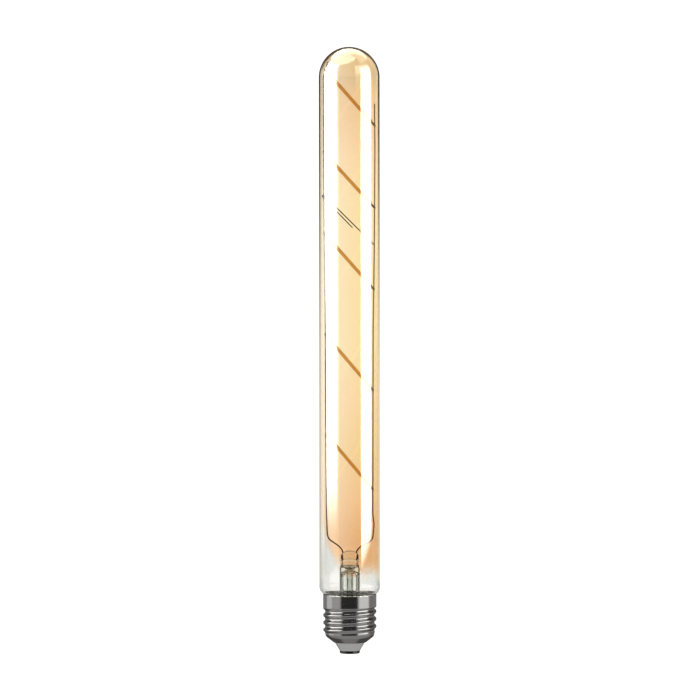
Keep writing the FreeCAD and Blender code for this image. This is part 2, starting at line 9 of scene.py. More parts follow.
# %% Load the CAD model as the frame
import bpy
import math
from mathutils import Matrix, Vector


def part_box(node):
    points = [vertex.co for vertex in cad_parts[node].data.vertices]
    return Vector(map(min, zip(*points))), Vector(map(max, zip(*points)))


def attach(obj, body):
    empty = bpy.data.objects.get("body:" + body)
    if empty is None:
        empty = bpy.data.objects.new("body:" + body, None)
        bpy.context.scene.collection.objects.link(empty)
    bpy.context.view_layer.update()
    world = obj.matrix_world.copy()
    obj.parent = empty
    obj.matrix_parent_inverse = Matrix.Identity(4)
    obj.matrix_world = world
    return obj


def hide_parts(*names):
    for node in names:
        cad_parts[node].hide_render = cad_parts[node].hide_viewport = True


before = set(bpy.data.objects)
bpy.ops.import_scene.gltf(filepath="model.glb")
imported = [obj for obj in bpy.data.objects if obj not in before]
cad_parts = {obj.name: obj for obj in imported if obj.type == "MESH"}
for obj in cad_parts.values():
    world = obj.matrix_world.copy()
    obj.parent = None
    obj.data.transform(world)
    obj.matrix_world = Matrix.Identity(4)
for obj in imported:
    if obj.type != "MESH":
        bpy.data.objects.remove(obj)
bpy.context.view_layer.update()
MM = 0.001
print("CAD nodes:", len(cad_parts))

# %% [markdown]
# Everything new takes its place and reach from the boxes of the CAD pieces, so the frame stays the
# one place where the lamp's overall sizes are decided. Walls, bends and edges, which no box shows,
# are given where they are first needed, with the same values as in the CAD model.

# %% Sizes from the frame


def span(node):
    """Lowest and highest corner of a CAD piece, in millimetres."""
    low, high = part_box(node)
    return Vector(low) / MM, Vector(high) / MM


glass_low, glass_high = span("glass_envelope")
shell_low, shell_high = span("cap_shell")
press_top = span("stem_flare")[1].z

tube_radius = (glass_high.x - glass_low.x) / 2
overall_height = glass_high.z
neck_bottom = glass_low.z
cap_height = shell_high.z
collar_radius = (shell_high.x - shell_low.x) / 2
print("tube radius %.2f, height %.1f" % (tube_radius, overall_height))
print("collar radius %.2f, cap height %.1f" % (collar_radius, cap_height))

# %% [markdown]
# Most of the lamp is round about one upright axis, so most pieces start as an outline that is
# turned on a lathe. The outline is one vertex, extruded from place to place, and the spin operator
# turns it. Its seam and its poles are then merged, so the skin is closed.

# %% Lathe
merge_distance = 0.001
crease_angle = 35


def deselect():
    """Leaves nothing selected, because operators act on all that is selected."""
    bpy.ops.object.select_all(action="DESELECT")


def arc(centre_radius, centre_height, radius, start, end, steps):
    """Places on an arc about a centre, between two angles in degrees."""
    angles = [math.radians(start + (end - start) * step / steps) for step in range(steps + 1)]
    return [
        (centre_radius + radius * math.cos(a), centre_height + radius * math.sin(a)) for a in angles
    ]


def lathe(name, outline, steps):
    """Turns an outline of (radius, height) places about the lamp's axis."""
    deselect()
    places = [Vector((radius, 0, height)) * MM for radius, height in outline]
    bpy.ops.mesh.primitive_plane_add(size=MM, location=places[0])
    piece = bpy.context.object
    piece.name = name
    bpy.ops.object.transform_apply(location=True, rotation=True, scale=True)
    bpy.ops.object.mode_set(mode="EDIT")
    bpy.ops.mesh.select_all(action="SELECT")
    bpy.ops.mesh.merge(type="CENTER")
    for here, there in zip(places, places[1:]):
        bpy.ops.mesh.extrude_region_move(TRANSFORM_OT_translate={"value": there - here})
    bpy.ops.mesh.select_all(action="SELECT")
    bpy.ops.mesh.spin(steps=steps, angle=2 * math.pi, center=(0, 0, 0), axis=(0, 0, 1))
    bpy.ops.mesh.select_all(action="SELECT")
    bpy.ops.mesh.remove_doubles(threshold=merge_distance * MM)
    bpy.ops.mesh.normals_make_consistent(inside=False)
    bpy.ops.object.mode_set(mode="OBJECT")
    return piece


def make_active(piece):
    """Selects one piece alone."""
    deselect()
    piece.select_set(True)
    bpy.context.view_layer.objects.active = piece


def give_wall(piece, thickness):
    """Gives a skin its wall, inwards, so that the outer size stays."""
    make_active(piece)
    wall = piece.modifiers.new("wall", "SOLIDIFY")
    wall.thickness = thickness * MM
    wall.offset = -1
    wall.use_even_offset = True
    bpy.ops.object.modifier_apply(modifier=wall.name)


def smooth(piece, angle=crease_angle):
    """Smooth shading, with edges sharper than the angle left crisp."""
    make_active(piece)
    bpy.ops.object.shade_smooth_by_angle(angle=math.radians(angle))


def ease(value):
    """Zero to one with level ends."""
    value = min(1.0, max(0.0, value))
    return value * value * (3 - 2 * value)


print("lathe: merges within %.3f mm, creases above %d degrees" % (merge_distance, crease_angle))

# %% [markdown]
# The envelope is blown soda-lime tube with one even wall: a half-round dome, a straight body and a
# rounded shoulder that draws in to the neck. A turned skin with an applied Solidify gives the same
# wall everywhere, and many steps keep the reflections on it straight.

# %% Glass envelope
glass_wall = 0.8
shoulder_radius = 4.5
neck_blend_radius = 1.5
glass_above_rim = 0.1
cement_thickness = 0.775
sheet_thickness = 0.3
glass_steps = 160
blend_steps = 8
shoulder_steps = 16
body_rows = 24
dome_steps = 36

dome_centre = overall_height - tube_radius
neck_radius = collar_radius - sheet_thickness - cement_thickness
shoulder_across = tube_radius - shoulder_radius
blend_across = neck_radius + neck_blend_radius
shoulder_reach = shoulder_radius + neck_blend_radius
shoulder_turn = math.degrees(math.acos((blend_across - shoulder_across) / shoulder_reach))
shoulder_rise = shoulder_radius * math.sin(math.radians(shoulder_turn))
shoulder_height = cap_height + glass_above_rim + shoulder_rise
blend_height = shoulder_height - shoulder_reach * math.sin(math.radians(shoulder_turn))

body_outline = [
    (tube_radius, shoulder_height + (dome_centre - shoulder_height) * row / body_rows)
    for row in range(1, body_rows)
]
envelope = lathe(
    "glass_tube",
    [(neck_radius, neck_bottom)]
    + arc(blend_across, blend_height, neck_blend_radius, 180, 180 - shoulder_turn, blend_steps)
    + arc(shoulder_across, shoulder_height, shoulder_radius, -shoulder_turn, 0, shoulder_steps)[1:]
    + body_outline
    + arc(0, dome_centre, tube_radius, 0, 90, dome_steps),
    glass_steps,
)
give_wall(envelope, glass_wall)
smooth(envelope)
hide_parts("glass_envelope")
print("envelope:", len(envelope.data.polygons), "faces")

# %% [markdown]
# The stem is a second glass tube, flared at its foot where it is fused to the neck and pinched flat
# at its top while the glass is soft. It is turned as a round rod first. Then each vertex above the
# tube is moved to the squared oval of the press, which is what the jaws of the machine do. They
# leave a shallow groove across it, and the free end stays rounded.

# %% Glass stem
stem_tube_radius = 4.9
stem_wall = 0.9
flare_bend_radius = 3.4
press_base = 41.4
bore_below_press = 0.6
pinch_height = 2.2
press_half_width = 4.5
press_half_thickness = 2.1
press_squareness = 3.4
press_crown = 0.9
crown_drop = 2.4
crown_half_width = 2.0
crown_power = 1.6
ridge_height = 3.9
ridge_curve = 0.05
ridge_width = 0.4
ridge_depth = 0.95
stem_steps = 128
bore_end_steps = 8
bend_steps = 10
crown_edge_steps = 5
pinch_rows = 10
press_rows = 24
stem_crease_angle = 50

flare_edge = neck_radius - glass_wall
rim_top = neck_bottom + stem_wall
flare_centre = stem_tube_radius + flare_bend_radius
bend_height = rim_top + flare_bend_radius
bore_radius = stem_tube_radius - stem_wall
bore_top = press_base - bore_below_press
flat_low = press_base + pinch_height
flat_reach = press_top - press_crown - flat_low
crown_edge = arc(
    stem_tube_radius - press_crown, press_top - press_crown, press_crown, 0, 90, crown_edge_steps
)
stem = lathe(
    "stem",
    [(0, bore_top)]
    + arc(0, bore_top - bore_radius, bore_radius, 90, 0, bore_end_steps)[1:]
    + arc(flare_centre, bend_height, flare_bend_radius + stem_wall, 180, 270, bend_steps)
    + [(flare_edge, neck_bottom), (flare_edge, rim_top)]
    + arc(flare_centre, bend_height, flare_bend_radius, 270, 180, bend_steps)
    + [
        (stem_tube_radius, press_base + pinch_height * row / pinch_rows)
        for row in range(pinch_rows + 1)
    ]
    + [
        (stem_tube_radius, flat_low + flat_reach * row / press_rows)
        for row in range(1, press_rows + 1)
    ]
    + crown_edge[1:]
    + [(0, press_top)],
    stem_steps,
)


def pinch(place):
    """A place on the round rod, moved to the squared oval of the press."""
    amount = ease((place.z - press_base) / pinch_height)
    radius = math.hypot(place.x, place.y)
    if amount == 0 or radius == 0:
        return place
    squareness = 2 + (press_squareness - 2) * amount
    across = place.x / radius
    along = place.y / radius
    share = radius / stem_tube_radius
    half_width = stem_tube_radius + (press_half_width - stem_tube_radius) * amount
    half_thickness = stem_tube_radius + (press_half_thickness - stem_tube_radius) * amount
    crown = max(0.0, (place.z - press_top + crown_drop) / crown_drop)
    half_width += (crown_half_width - half_width) * crown ** crown_power
    x = math.copysign(abs(across) ** (2 / squareness), across) * half_width * share
    from_ridge = (place.z - press_top + ridge_height + ridge_curve * x * x) / ridge_width
    half_thickness -= ridge_depth * math.exp(-from_ridge * from_ridge) * amount
    y = math.copysign(abs(along) ** (2 / squareness), along) * half_thickness * share
    return Vector((x, y, place.z))


for vertex in stem.data.vertices:
    vertex.co = pinch(vertex.co / MM) * MM
smooth(stem, stem_crease_angle)
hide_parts("stem_flare")
print("stem:", len(stem.data.polygons), "faces")

# %% [markdown]
# The shell of the cap is one thin sheet, drawn to a cup and rolled between two threaded wheels. Its
# thread is a wave of arcs, the same inside and out. The sheet is turned as a smooth cup with fine
# rows, and each row is then pressed in or out by the formula of the wave before it gets its wall.
# A holding row near each end of the collar keeps its smooth shading level, so that it mirrors the
# room as a plain cylinder does.

# %% Screw shell
collar_height = 6.0
collar_step = 0.8
rim_edge_radius = 0.1
thread_depth = 0.975
thread_pitch = 25.4 / 7
thread_arc_radius = 1.0
thread_crest_at_right = 13.3
thread_run_out = 1.4
cap_shoulder_radius = 2.5
cap_shoulder_slope = 38.0
cap_hole_radius = 8.2
thread_rows_per_pitch = 18
holding_row = 0.12
rim_edge_turn = 70
rim_edge_steps = 3
cap_shoulder_steps = 12
shell_steps = 160
shell_crease_angle = 40

root_radius = collar_radius - thread_depth
collar_bottom = cap_height - collar_height
cap_hole_height = shell_low.z
slope = math.radians(cap_shoulder_slope)
bend_across = root_radius - cap_shoulder_radius
tangent_across = bend_across + cap_shoulder_radius * math.sin(slope)
thread_bottom = (
    cap_hole_height
    + (tangent_across - cap_hole_radius) * math.tan(slope)
    + cap_shoulder_radius * math.cos(slope)
)


def wave(offset):
    """Height of the rolled wave above the root, for a distance along the axis from its crest."""
    flank = math.acos(1 - thread_depth / (2 * thread_arc_radius))
    half_width = thread_arc_radius * math.sin(flank)
    distance = abs(offset)
    if distance < half_width:
        return thread_depth - thread_arc_radius + math.sqrt(thread_arc_radius ** 2 - distance ** 2)
    if distance < 2 * half_width:
        to_root = 2 * half_width - distance
        return thread_arc_radius - math.sqrt(thread_arc_radius ** 2 - to_root ** 2)
    return 0.0


def shell_radius(angle, height):
    """Radius of the shell's outside in the threaded zone."""
    crest = thread_crest_at_right + thread_pitch * angle / (2 * math.pi)
    offset = (height - crest + thread_pitch / 2) % thread_pitch - thread_pitch / 2
    run_out = ease((height - thread_bottom) / thread_run_out)
    rise = ease((height - collar_bottom + collar_step) / collar_step)
    return root_radius + wave(offset) * run_out * (1 - rise) + (collar_radius - root_radius) * rise


thread_rows = math.ceil((collar_bottom - thread_bottom) / thread_pitch * thread_rows_per_pitch)
thread_outline = [
    (root_radius, thread_bottom + (collar_bottom - thread_bottom) * row / thread_rows)
    for row in range(1, thread_rows)
]
rim_edge_height = cap_height - rim_edge_radius
rim_edge = arc(
    collar_radius - rim_edge_radius, rim_edge_height, rim_edge_radius,
    0, rim_edge_turn, rim_edge_steps,
)
shell = lathe(
    "screw_shell",
    [(cap_hole_radius, cap_hole_height)]
    + arc(
        bend_across, thread_bottom, cap_shoulder_radius,
        cap_shoulder_slope - 90, 0, cap_shoulder_steps,
    )
    + thread_outline
    + [
        (collar_radius, collar_bottom),
        (collar_radius, collar_bottom + holding_row),
        (collar_radius, rim_edge_height - holding_row),
        (collar_radius, rim_edge_height),
    ]
    + rim_edge[1:],
    shell_steps,
)
for vertex in shell.data.vertices:
    height = vertex.co.z / MM
    if thread_bottom < height < collar_bottom:
        angle = math.atan2(vertex.co.y, vertex.co.x)
        radius = shell_radius(angle, height) * MM
        vertex.co.x = radius * math.cos(angle)
        vertex.co.y = radius * math.sin(angle)
give_wall(shell, sheet_thickness)
smooth(shell, shell_crease_angle)
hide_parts("cap_shell")
print("screw shell:", len(shell.data.polygons), "faces")

# %% [markdown]
# Each filament strip is a narrow carrier with a row of LED chips, cast over with silicone that
# holds the yellow phosphor. All five are alike, so one bar is made from a cube with rounded edges.
# It gets a UV map that runs along and across it, and copies of its mesh are then turned on to the
# rails.

# %% Filament strips
strip_count = 5
strip_width = 1.7
strip_thickness = 1.1
strip_edge_radius = 0.5
strip_edge_steps = 5
strip_crease_angle = 60


def middle(node):
    """The middle of a CAD piece's box."""
    low, high = span(node)
    return (low + high) / 2


def strip_ends(number):
    """The strip's two ends, on the line between the middles of its two tabs."""
    low, high = span("filament_strip_%d" % number)
    line = middle("filament_right_tab_%d" % number) - middle("filament_left_tab_%d" % number)
    heading = line.normalized()
    corner = strip_width / 2 - strip_edge_radius
    half_span = (high.x - low.x) / 2 - strip_edge_radius - corner * abs(heading.z)
    half_length = half_span / heading.x + strip_edge_radius
    centre = middle("filament_strip_%d" % number)
    return centre - heading * half_length, centre + heading * half_length


deselect()
bpy.ops.mesh.primitive_cube_add(size=1)
bar = bpy.context.object
bar_left, bar_right = strip_ends(1)
bar_length = (bar_right - bar_left).length
bpy.ops.transform.resize(value=(bar_length * MM, strip_thickness * MM, strip_width * MM))
bpy.ops.object.transform_apply(location=True, rotation=True, scale=True)
bpy.ops.object.mode_set(mode="EDIT")
bpy.ops.mesh.select_all(action="SELECT")
bpy.ops.mesh.bevel(offset=strip_edge_radius * MM, segments=strip_edge_steps, profile=0.5)
bpy.ops.object.mode_set(mode="OBJECT")
bar_map = bar.data.uv_layers.active or bar.data.uv_layers.new()
for loop in bar.data.loops:
    place = bar.data.vertices[loop.vertex_index].co / MM
    bar_map.data[loop.index].uv = (place.x / bar_length + 0.5, place.z / strip_width + 0.5)
smooth(bar, strip_crease_angle)

strips = []
for number in range(1, strip_count + 1):
    left, right = strip_ends(number)
    strip = bar.copy()
    strip.data = bar.data.copy()
    strip.name = "led_strip_%d" % number
    bpy.context.collection.objects.link(strip)
    make_active(strip)
    line = right - left
    strip.rotation_euler = (0, -math.atan2(line.z, line.x), 0)
    strip.scale = (line.length / bar_length, 1, 1)
    strip.location = (left + right) / 2 * MM
    bpy.ops.object.transform_apply(location=True, rotation=True, scale=True)
    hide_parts("filament_strip_%d" % number)
    strips.append(strip)
bpy.data.objects.remove(bar)
print("strips:", len(strips), "of", len(strips[0].data.polygons), "faces")

# %% [markdown]
# ## Finishes
#
# The other pieces, such as the rails, the boss and the contact, stay as the CAD model makes them
# and get a finish only. A finish starts from what the real material is and how its surface was
# made. Small helpers are enough: one turns a colour picked as sRGB hex into the linear values that
# the shader wants, and one adds a node with its settings, values and links.

# %% Colour and node helpers


def colour(code):
    """An sRGB hex colour as linear RGBA."""
    channels = [int(code[i:i + 2], 16) / 255 for i in (1, 3, 5)]
    linear = [c / 12.92 if c <= 0.04045 else ((c + 0.055) / 1.055) ** 2.4 for c in channels]
    return (*linear, 1.0)


def add(tree, kind, inputs=None, **settings):
    """Adds a node, with its settings, and with a value or a link for each named input."""
    node = tree.nodes.new(kind)
    for name, value in settings.items():
        setattr(node, name, value)
    for socket, value in (inputs or {}).items():
        if isinstance(value, bpy.types.NodeSocket):
            tree.links.new(value, node.inputs[socket])
        else:
            node.inputs[socket].default_value = value
    return node


def new_finish(name):
    """An empty material and its node tree."""
    material = bpy.data.materials.new(name)
    material.use_nodes = True
    material.node_tree.nodes.clear()
    return material, material.node_tree


def set_stops(ramp, stops):
    """Gives a colour ramp its (position, hex colour) stops."""
    elements = ramp.color_ramp.elements
    elements[0].position, elements[1].position = stops[0][0], stops[-1][0]
    elements[0].color, elements[1].color = colour(stops[0][1]), colour(stops[-1][1])
    for position, code in stops[1:-1]:
        elements.new(position).color = colour(code)


def per_metre(size):
    """Noise scale that gives patches of about a size in millimetres."""
    return 1 / (size * MM)


print("white as linear values:", colour("#FFFFFF"))

# %% [markdown]
# The envelope is soda-lime glass with a thin amber lacquer. The lacquer colours the light at each
# wall, so the shader's base colour is the tint of one wall. It is denser in the dome and towards
# the lower end, and denser on one side, because the lacquer ran down while the lamp lay at a slant.
# A mix factor above one makes the lacquer deeper than its ramp, so that factor isn't clamped.
# It ends in a mottled, speckled edge above the cap, which curves up on its thin side. To the eye
# this gives the warm body, the deeper dome and the clear foot. Towards its top the tube is also
# darker where it is seen edge on. That is painted shade for the dark surroundings that the edge of
# the glass shows, with a little from the longer path through the lacquer there.

# %% Amber glass
lacquer_edge_low = 37.0
lacquer_edge_high = 45.0
lacquer_edge_curve = 0.112
lacquer_side_change = 0.027
lacquer_side_most = 1.09
edge_shade_height_low = 125.0
edge_shade_height_high = 273.0
mottle_size = 4.0
mottle_reach = 8.0
speckle_size = 0.8
speckle_reach = 14.0
edge_lift = (mottle_reach + speckle_reach) / 2
bare_glass = "#F2F2EF"
glass_ior = 1.5


def amber_coated_glass():
    """Soda-lime tube, blown, with an amber lacquer."""
    material, tree = new_finish("amber_coated_soda_lime_glass")
    place = add(tree, "ShaderNodeTexCoord").outputs["Object"]
    axes = add(tree, "ShaderNodeSeparateXYZ", {"Vector": place})
    height = add(
        tree, "ShaderNodeMapRange",
        {"Value": axes.outputs["Z"], "From Min": 0.0, "From Max": overall_height * MM},
    )
    coat = add(tree, "ShaderNodeValToRGB", {"Fac": height.outputs["Result"]})
    set_stops(coat, [
        (0.12, "#F4D9BA"), (0.186, "#F4D9BA"), (0.252, "#FAE3C6"), (0.335, "#FBEACB"),
        (0.417, "#FEEDD2"), (0.50, "#FEF1D5"), (0.75, "#FEF1D5"), (0.82, "#FEEDD3"),
        (0.87, "#FBE8CE"), (0.92, "#F8E5C8"), (0.945, "#F1E0C6"), (0.97, "#F0E0C4"),
    ])
    sideways = add(
        tree, "ShaderNodeMath",
        {0: axes.outputs["X"], 1: lacquer_side_change / MM, 2: 1.0}, operation="MULTIPLY_ADD",
    )
    density = add(
        tree, "ShaderNodeMath", {0: sideways.outputs[0], 1: lacquer_side_most}, operation="MINIMUM"
    )
    sided = add(
        tree, "ShaderNodeMix",
        {"Factor": density.outputs[0], 6: (1, 1, 1, 1), 7: coat.outputs["Color"]},
        data_type="RGBA", clamp_factor=False,
    )
    thin_side = add(tree, "ShaderNodeMath", {0: axes.outputs["X"], 1: 0.0}, operation="MINIMUM")
    squared = add(
        tree, "ShaderNodeMath",
        {0: thin_side.outputs[0], 1: thin_side.outputs[0]}, operation="MULTIPLY",
    )
    above = add(
        tree, "ShaderNodeMath",
        {0: squared.outputs[0], 1: -lacquer_edge_curve / MM, 2: axes.outputs["Z"]},
        operation="MULTIPLY_ADD",
    )
    mottle = add(
        tree, "ShaderNodeTexNoise",
        {"Vector": place, "Scale": per_metre(mottle_size), "Detail": 3.0},
    )
    speckle = add(
        tree, "ShaderNodeTexNoise",
        {"Vector": place, "Scale": per_metre(speckle_size), "Detail": 2.0},
    )
    blotched = add(
        tree, "ShaderNodeMath",
        {0: mottle.outputs["Fac"], 1: mottle_reach * MM, 2: above.outputs[0]},
        operation="MULTIPLY_ADD",
    )
    edge = add(
        tree, "ShaderNodeMath",
        {0: speckle.outputs["Fac"], 1: speckle_reach * MM, 2: blotched.outputs[0]},
        operation="MULTIPLY_ADD",
    )
    covered = add(
        tree, "ShaderNodeMapRange",
        {
            "Value": edge.outputs[0],
            "From Min": (lacquer_edge_low + edge_lift) * MM,
            "From Max": (lacquer_edge_high + edge_lift) * MM,
        },
        interpolation_type="SMOOTHSTEP",
    )
    tint = add(
        tree, "ShaderNodeMix",
        {"Factor": covered.outputs["Result"], 6: colour(bare_glass), 7: sided.outputs[2]},
        data_type="RGBA",
    )
    # Painted shade: the tint darkens where the tube is seen edge on, more towards its top, for the
    # dark surroundings seen there.
    facing = add(tree, "ShaderNodeLayerWeight", {"Blend": 0.5}).outputs["Facing"]
    painted_edge_shade = add(tree, "ShaderNodeValToRGB", {"Fac": facing})
    set_stops(painted_edge_shade, [(0.0, "#FFFFFF"), (0.60, "#FFFFFF"), (0.68, "#FDEBC8"), (0.80, "#B4A68A")])
    edge_shade_amount = add(
        tree, "ShaderNodeMapRange",
        {
            "Value": axes.outputs["Z"],
            "From Min": edge_shade_height_low * MM,
            "From Max": edge_shade_height_high * MM,
        },
    )
    shaded = add(
        tree, "ShaderNodeMix",
        {"Factor": edge_shade_amount.outputs["Result"], 6: tint.outputs[2], 7: painted_edge_shade.outputs["Color"]},
        data_type="RGBA", blend_type="MULTIPLY",
    )
    shader = add(
        tree, "ShaderNodeBsdfPrincipled",
        {
            "Base Color": shaded.outputs[2], "Roughness": 0.0, "IOR": glass_ior,
            "Transmission Weight": 1.0,
        },
    )
    add(tree, "ShaderNodeOutputMaterial", {"Surface": shader.outputs[0]})
    return material


print("lacquer ends between %.0f and %.0f mm" % (lacquer_edge_low, lacquer_edge_high))

# %% [markdown]
# The stem is clear sealing glass, drawn and then pressed hot. Where it is seen edge on, its colour
# is darker: painted shade for the dark surroundings that the thick glass shows there, which draws
# the outlines of the tubes. The flare at its foot is thin and spread out, so this painted shade
# fades away there.

# %% Stem glass
sealing_glass_ior = 1.52
flare_shade_fade = 6.0


def clear_stem_glass():
    """Lead-free sealing glass, drawn and pressed hot."""
    material, tree = new_finish("clear_sealing_glass")
    facing = add(tree, "ShaderNodeLayerWeight", {"Blend": 0.35}).outputs["Facing"]
    place = add(tree, "ShaderNodeTexCoord").outputs["Object"]
    axes = add(tree, "ShaderNodeSeparateXYZ", {"Vector": place})
    edge_shade_above_flare = add(
        tree, "ShaderNodeMapRange",
        {
            "Value": axes.outputs["Z"],
            "From Min": (neck_bottom + flare_bend_radius) * MM,
            "From Max": (neck_bottom + flare_bend_radius + flare_shade_fade) * MM,
        },
    )
    # Painted shade: the tint darkens where the stem is seen edge on, above the flare, for dark
    # surroundings.
    stem_edge_shade = add(
        tree, "ShaderNodeMath", {0: facing, 1: edge_shade_above_flare.outputs["Result"]}, operation="MULTIPLY"
    )
    tint = add(tree, "ShaderNodeValToRGB", {"Fac": stem_edge_shade.outputs[0]})
    set_stops(tint, [(0.0, "#F4F6F2"), (0.45, "#EAECE4"), (0.8, "#D0D1C6"), (1.0, "#B0B0A2")])
    shader = add(
        tree, "ShaderNodeBsdfPrincipled",
        {
            "Base Color": tint.outputs["Color"], "Roughness": 0.0, "IOR": sealing_glass_ior,
            "Transmission Weight": 1.0,
        },
    )
    add(tree, "ShaderNodeOutputMaterial", {"Surface": shader.outputs[0]})
    return material


print("stem glass bends light by", sealing_glass_ior)

# %% [markdown]
# The metals differ in colour and in how they were worked. Rolled and plated sheet is bright with
# faint scuffs, which blur what it mirrors here and there. The rails and the brace are drawn wire
# that heat has dulled, and near the press the sealing flame has browned it.

# %% Metals
scuff_least = 0.7
scuff_most = 1.4
stain_size = 3.0
stain_reach = 6.0


def plated_metal(name, code, roughness, scuff_size):
    """Nickel-plated metal with faint, uneven scuffs, whose size is given in millimetres."""
    material, tree = new_finish(name)
    place = add(tree, "ShaderNodeTexCoord").outputs["Object"]
    scuff = add(
        tree, "ShaderNodeTexNoise",
        {"Vector": place, "Scale": per_metre(scuff_size), "Detail": 4.0},
    )
    rough = add(
        tree, "ShaderNodeMapRange",
        {
            "Value": scuff.outputs["Fac"],
            "To Min": roughness * scuff_least, "To Max": roughness * scuff_most,
        },
    )
    shader = add(
        tree, "ShaderNodeBsdfPrincipled",
        {"Base Color": colour(code), "Metallic": 1.0, "Roughness": rough.outputs["Result"]},
    )
    add(tree, "ShaderNodeOutputMaterial", {"Surface": shader.outputs[0]})
    return material


def oxidised_wire(name, low, high, oxide_code, clean_code):
    """Nickel-iron wire, drawn, with dark oxide up to one height that thins out by a second."""
    material, tree = new_finish(name)
    place = add(tree, "ShaderNodeTexCoord").outputs["Object"]
    axes = add(tree, "ShaderNodeSeparateXYZ", {"Vector": place})
    stain = add(
        tree, "ShaderNodeTexNoise",
        {"Vector": place, "Scale": per_metre(stain_size), "Detail": 2.0},
    )
    uneven = add(
        tree, "ShaderNodeMath",
        {0: stain.outputs["Fac"], 1: stain_reach * MM, 2: axes.outputs["Z"]},
        operation="MULTIPLY_ADD",
    )
    clean = add(
        tree, "ShaderNodeMapRange",
        {
            "Value": uneven.outputs[0],
            "From Min": (low + stain_reach / 2) * MM, "From Max": (high + stain_reach / 2) * MM,
        },
        interpolation_type="SMOOTHSTEP",
    )
    tint = add(
        tree, "ShaderNodeMix",
        {"Factor": clean.outputs["Result"], 6: colour(oxide_code), 7: colour(clean_code)},
        data_type="RGBA",
    )
    shader = add(
        tree, "ShaderNodeBsdfPrincipled",
        {
            "Base Color": tint.outputs[2], "Metallic": 0.25, "Roughness": 0.55,
            "Specular IOR Level": 0.2,
        },
    )
    add(tree, "ShaderNodeOutputMaterial", {"Surface": shader.outputs[0]})
    return material


print("wire stains of about %.0f mm" % stain_size)

# %% [markdown]
# The strips look orange because the phosphor is mixed into the silicone. The chips make a darker
# streak along the middle, the silicone is palest beside it, and it deepens again at its edges.

# %% Phosphor coating
coating_grain = 0.4
coating_unevenness = 0.06
silicone_ior = 1.41


def phosphor_silicone():
    """Cast silicone with yellow phosphor over a row of chips."""
    material, tree = new_finish("phosphor_filled_silicone")
    coordinates = add(tree, "ShaderNodeTexCoord")
    axes = add(tree, "ShaderNodeSeparateXYZ", {"Vector": coordinates.outputs["UV"]})
    off_centre = add(
        tree, "ShaderNodeMath", {0: axes.outputs["Y"], 1: 0.5}, operation="SUBTRACT"
    )
    distance = add(tree, "ShaderNodeMath", {0: off_centre.outputs[0]}, operation="ABSOLUTE")
    grain = add(
        tree, "ShaderNodeTexNoise",
        {
            "Vector": coordinates.outputs["Object"], "Scale": per_metre(coating_grain),
            "Detail": 2.0,
        },
    )
    uneven = add(
        tree, "ShaderNodeMath",
        {0: grain.outputs["Fac"], 1: coating_unevenness, 2: distance.outputs[0]},
        operation="MULTIPLY_ADD",
    )
    tint = add(tree, "ShaderNodeValToRGB", {"Fac": uneven.outputs[0]})
    set_stops(tint, [
        (0.0, "#EDAE62"), (0.10, "#EEB165"), (0.16, "#F6C276"), (0.36, "#F5C072"),
        (0.53, "#EFB66A"),
    ])
    shader = add(
        tree, "ShaderNodeBsdfPrincipled",
        {
            "Base Color": tint.outputs["Color"], "Roughness": 0.6, "IOR": silicone_ior,
            "Specular IOR Level": 0.25,
        },
    )
    add(tree, "ShaderNodeOutputMaterial", {"Surface": shader.outputs[0]})
    return material


print("phosphor grain %.1f mm" % coating_grain)

# %% [markdown]
# The boss is a pale grey moulding of hard resin. Its skin has a light gloss over a fine grain,
# which is drawn a little coarser than the real one so that it shows. The glass bead, the cement and
# the parts in the cap have skins of this kind too, so the same function makes their finishes.

# %% Mouldings and inner parts
grain_strength = 0.15
grain_depth = 0.05
glaze_roughness = 0.03


def moulded(name, code, roughness, grain, glaze=0.0):
    """A moulded or cast surface with a fine grain, whose size is given in millimetres."""
    material, tree = new_finish(name)
    place = add(tree, "ShaderNodeTexCoord").outputs["Object"]
    noise = add(
        tree, "ShaderNodeTexNoise", {"Vector": place, "Scale": per_metre(grain), "Detail": 3.0}
    )
    bump = add(
        tree, "ShaderNodeBump",
        {
            "Height": noise.outputs["Fac"], "Strength": grain_strength,
            "Distance": grain_depth * MM,
        },
    )
    shader = add(
        tree, "ShaderNodeBsdfPrincipled",
        {
            "Base Color": colour(code), "Roughness": roughness, "Normal": bump.outputs["Normal"],
            "Coat Weight": glaze, "Coat Roughness": glaze_roughness,
        },
    )
    add(tree, "ShaderNodeOutputMaterial", {"Surface": shader.outputs[0]})
    return material


print("moulding grain %.2f mm deep" % grain_depth)

# %% [markdown]
# Each piece now gets the finish of what it is made of. The remade pieces get theirs directly. Each
# CAD piece that stays finds its finish in the table, or in the second table if it shares another's.
# To the eye the bead is nearly black, and the tabs, the leads and the contact have a dull metal
# shine. The cement is chalky, and the parts in the cap are film, enamel and satin mouldings.

